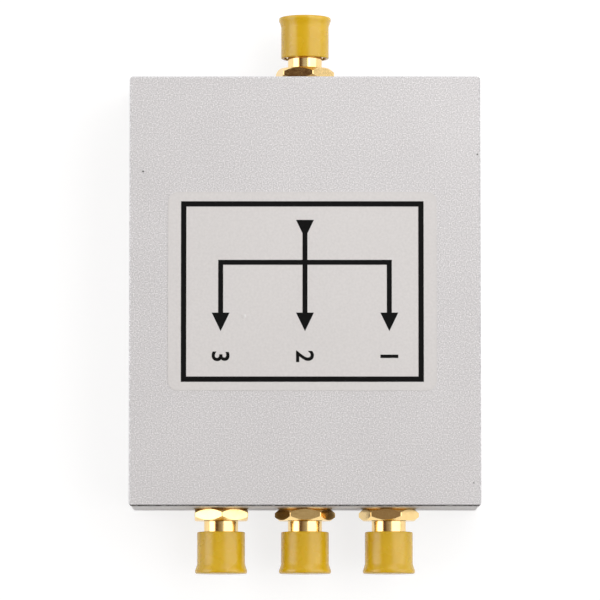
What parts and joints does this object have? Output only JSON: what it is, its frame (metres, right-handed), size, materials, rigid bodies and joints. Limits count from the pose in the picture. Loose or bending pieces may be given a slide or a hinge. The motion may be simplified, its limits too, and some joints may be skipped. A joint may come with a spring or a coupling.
{
  "type": "rf power splitter",
  "caption": "Flat milled box that divides one coaxial radio signal evenly between outputs, with threaded gold jacks under push-on yellow dust caps and a label on its front.",
  "frame": {"origin": "middle of the back face", "axes": "+Z out of the labelled front, +Y towards the input jack, +X to the right seen from the front"},
  "size_m": [0.053, 0.0848, 0.0152],
  "materials": {
    "blasted_aluminium": "fine grit-blasted, clear anodised",
    "steel": "bright zinc plated",
    "label_film": "printed silver-white film",
    "board_laminate": "bare glass-filled laminate",
    "copper_foil": "gold-flashed copper",
    "chip_ceramic": "black glaze with tinned ends",
    "gold_plate": "polished gold plate",
    "white_insulator": "waxy white",
    "solder": "bright solder",
    "cap_plastic": "soft translucent yellow"
  },
  "bodies": {
    "case": {"housing": "blasted_aluminium", "back_cover": "blasted_aluminium", "cover_screws": "steel", "label": "label_film", "circuit_board": "board_laminate", "microstrip": "copper_foil", "board_screws": "steel", "isolation_resistor_1": "chip_ceramic", "isolation_resistor_2": "chip_ceramic", "isolation_resistor_3": "chip_ceramic", "isolation_resistor_4": "chip_ceramic", "in_jack_washer": "gold_plate", "in_jack_body": "gold_plate", "in_jack_insulator": "white_insulator", "in_jack_contact": "gold_plate", "in_solder_joint": "solder", "out1_jack_washer": "gold_plate", "out1_jack_body": "gold_plate", "out1_jack_insulator": "white_insulator", "out1_jack_contact": "gold_plate", "out1_solder_joint": "solder", "out2_jack_washer": "gold_plate", "out2_jack_body": "gold_plate", "out2_jack_insulator": "white_insulator", "out2_jack_contact": "gold_plate", "out2_solder_joint": "solder", "out3_jack_washer": "gold_plate", "out3_jack_body": "gold_plate", "out3_jack_insulator": "white_insulator", "out3_jack_contact": "gold_plate", "out3_solder_joint": "solder"},
    "in_cap": {"in_dust_cap": "cap_plastic"},
    "out1_cap": {"out1_dust_cap": "cap_plastic"},
    "out2_cap": {"out2_dust_cap": "cap_plastic"},
    "out3_cap": {"out3_dust_cap": "cap_plastic"}
  },
  "joints": [
    {"name": "in_cap_pull", "type": "slide", "parent": "case", "child": "in_cap", "axis": [0, 1, 0], "range_m": [0, 0.01]},
    {"name": "out1_cap_pull", "type": "slide", "parent": "case", "child": "out1_cap", "axis": [0, -1, 0], "range_m": [0, 0.01]},
    {"name": "out2_cap_pull", "type": "slide", "parent": "case", "child": "out2_cap", "axis": [0, -1, 0], "range_m": [0, 0.01]},
    {"name": "out3_cap_pull", "type": "slide", "parent": "case", "child": "out3_cap", "axis": [0, -1, 0], "range_m": [0, 0.01]}
  ]
}
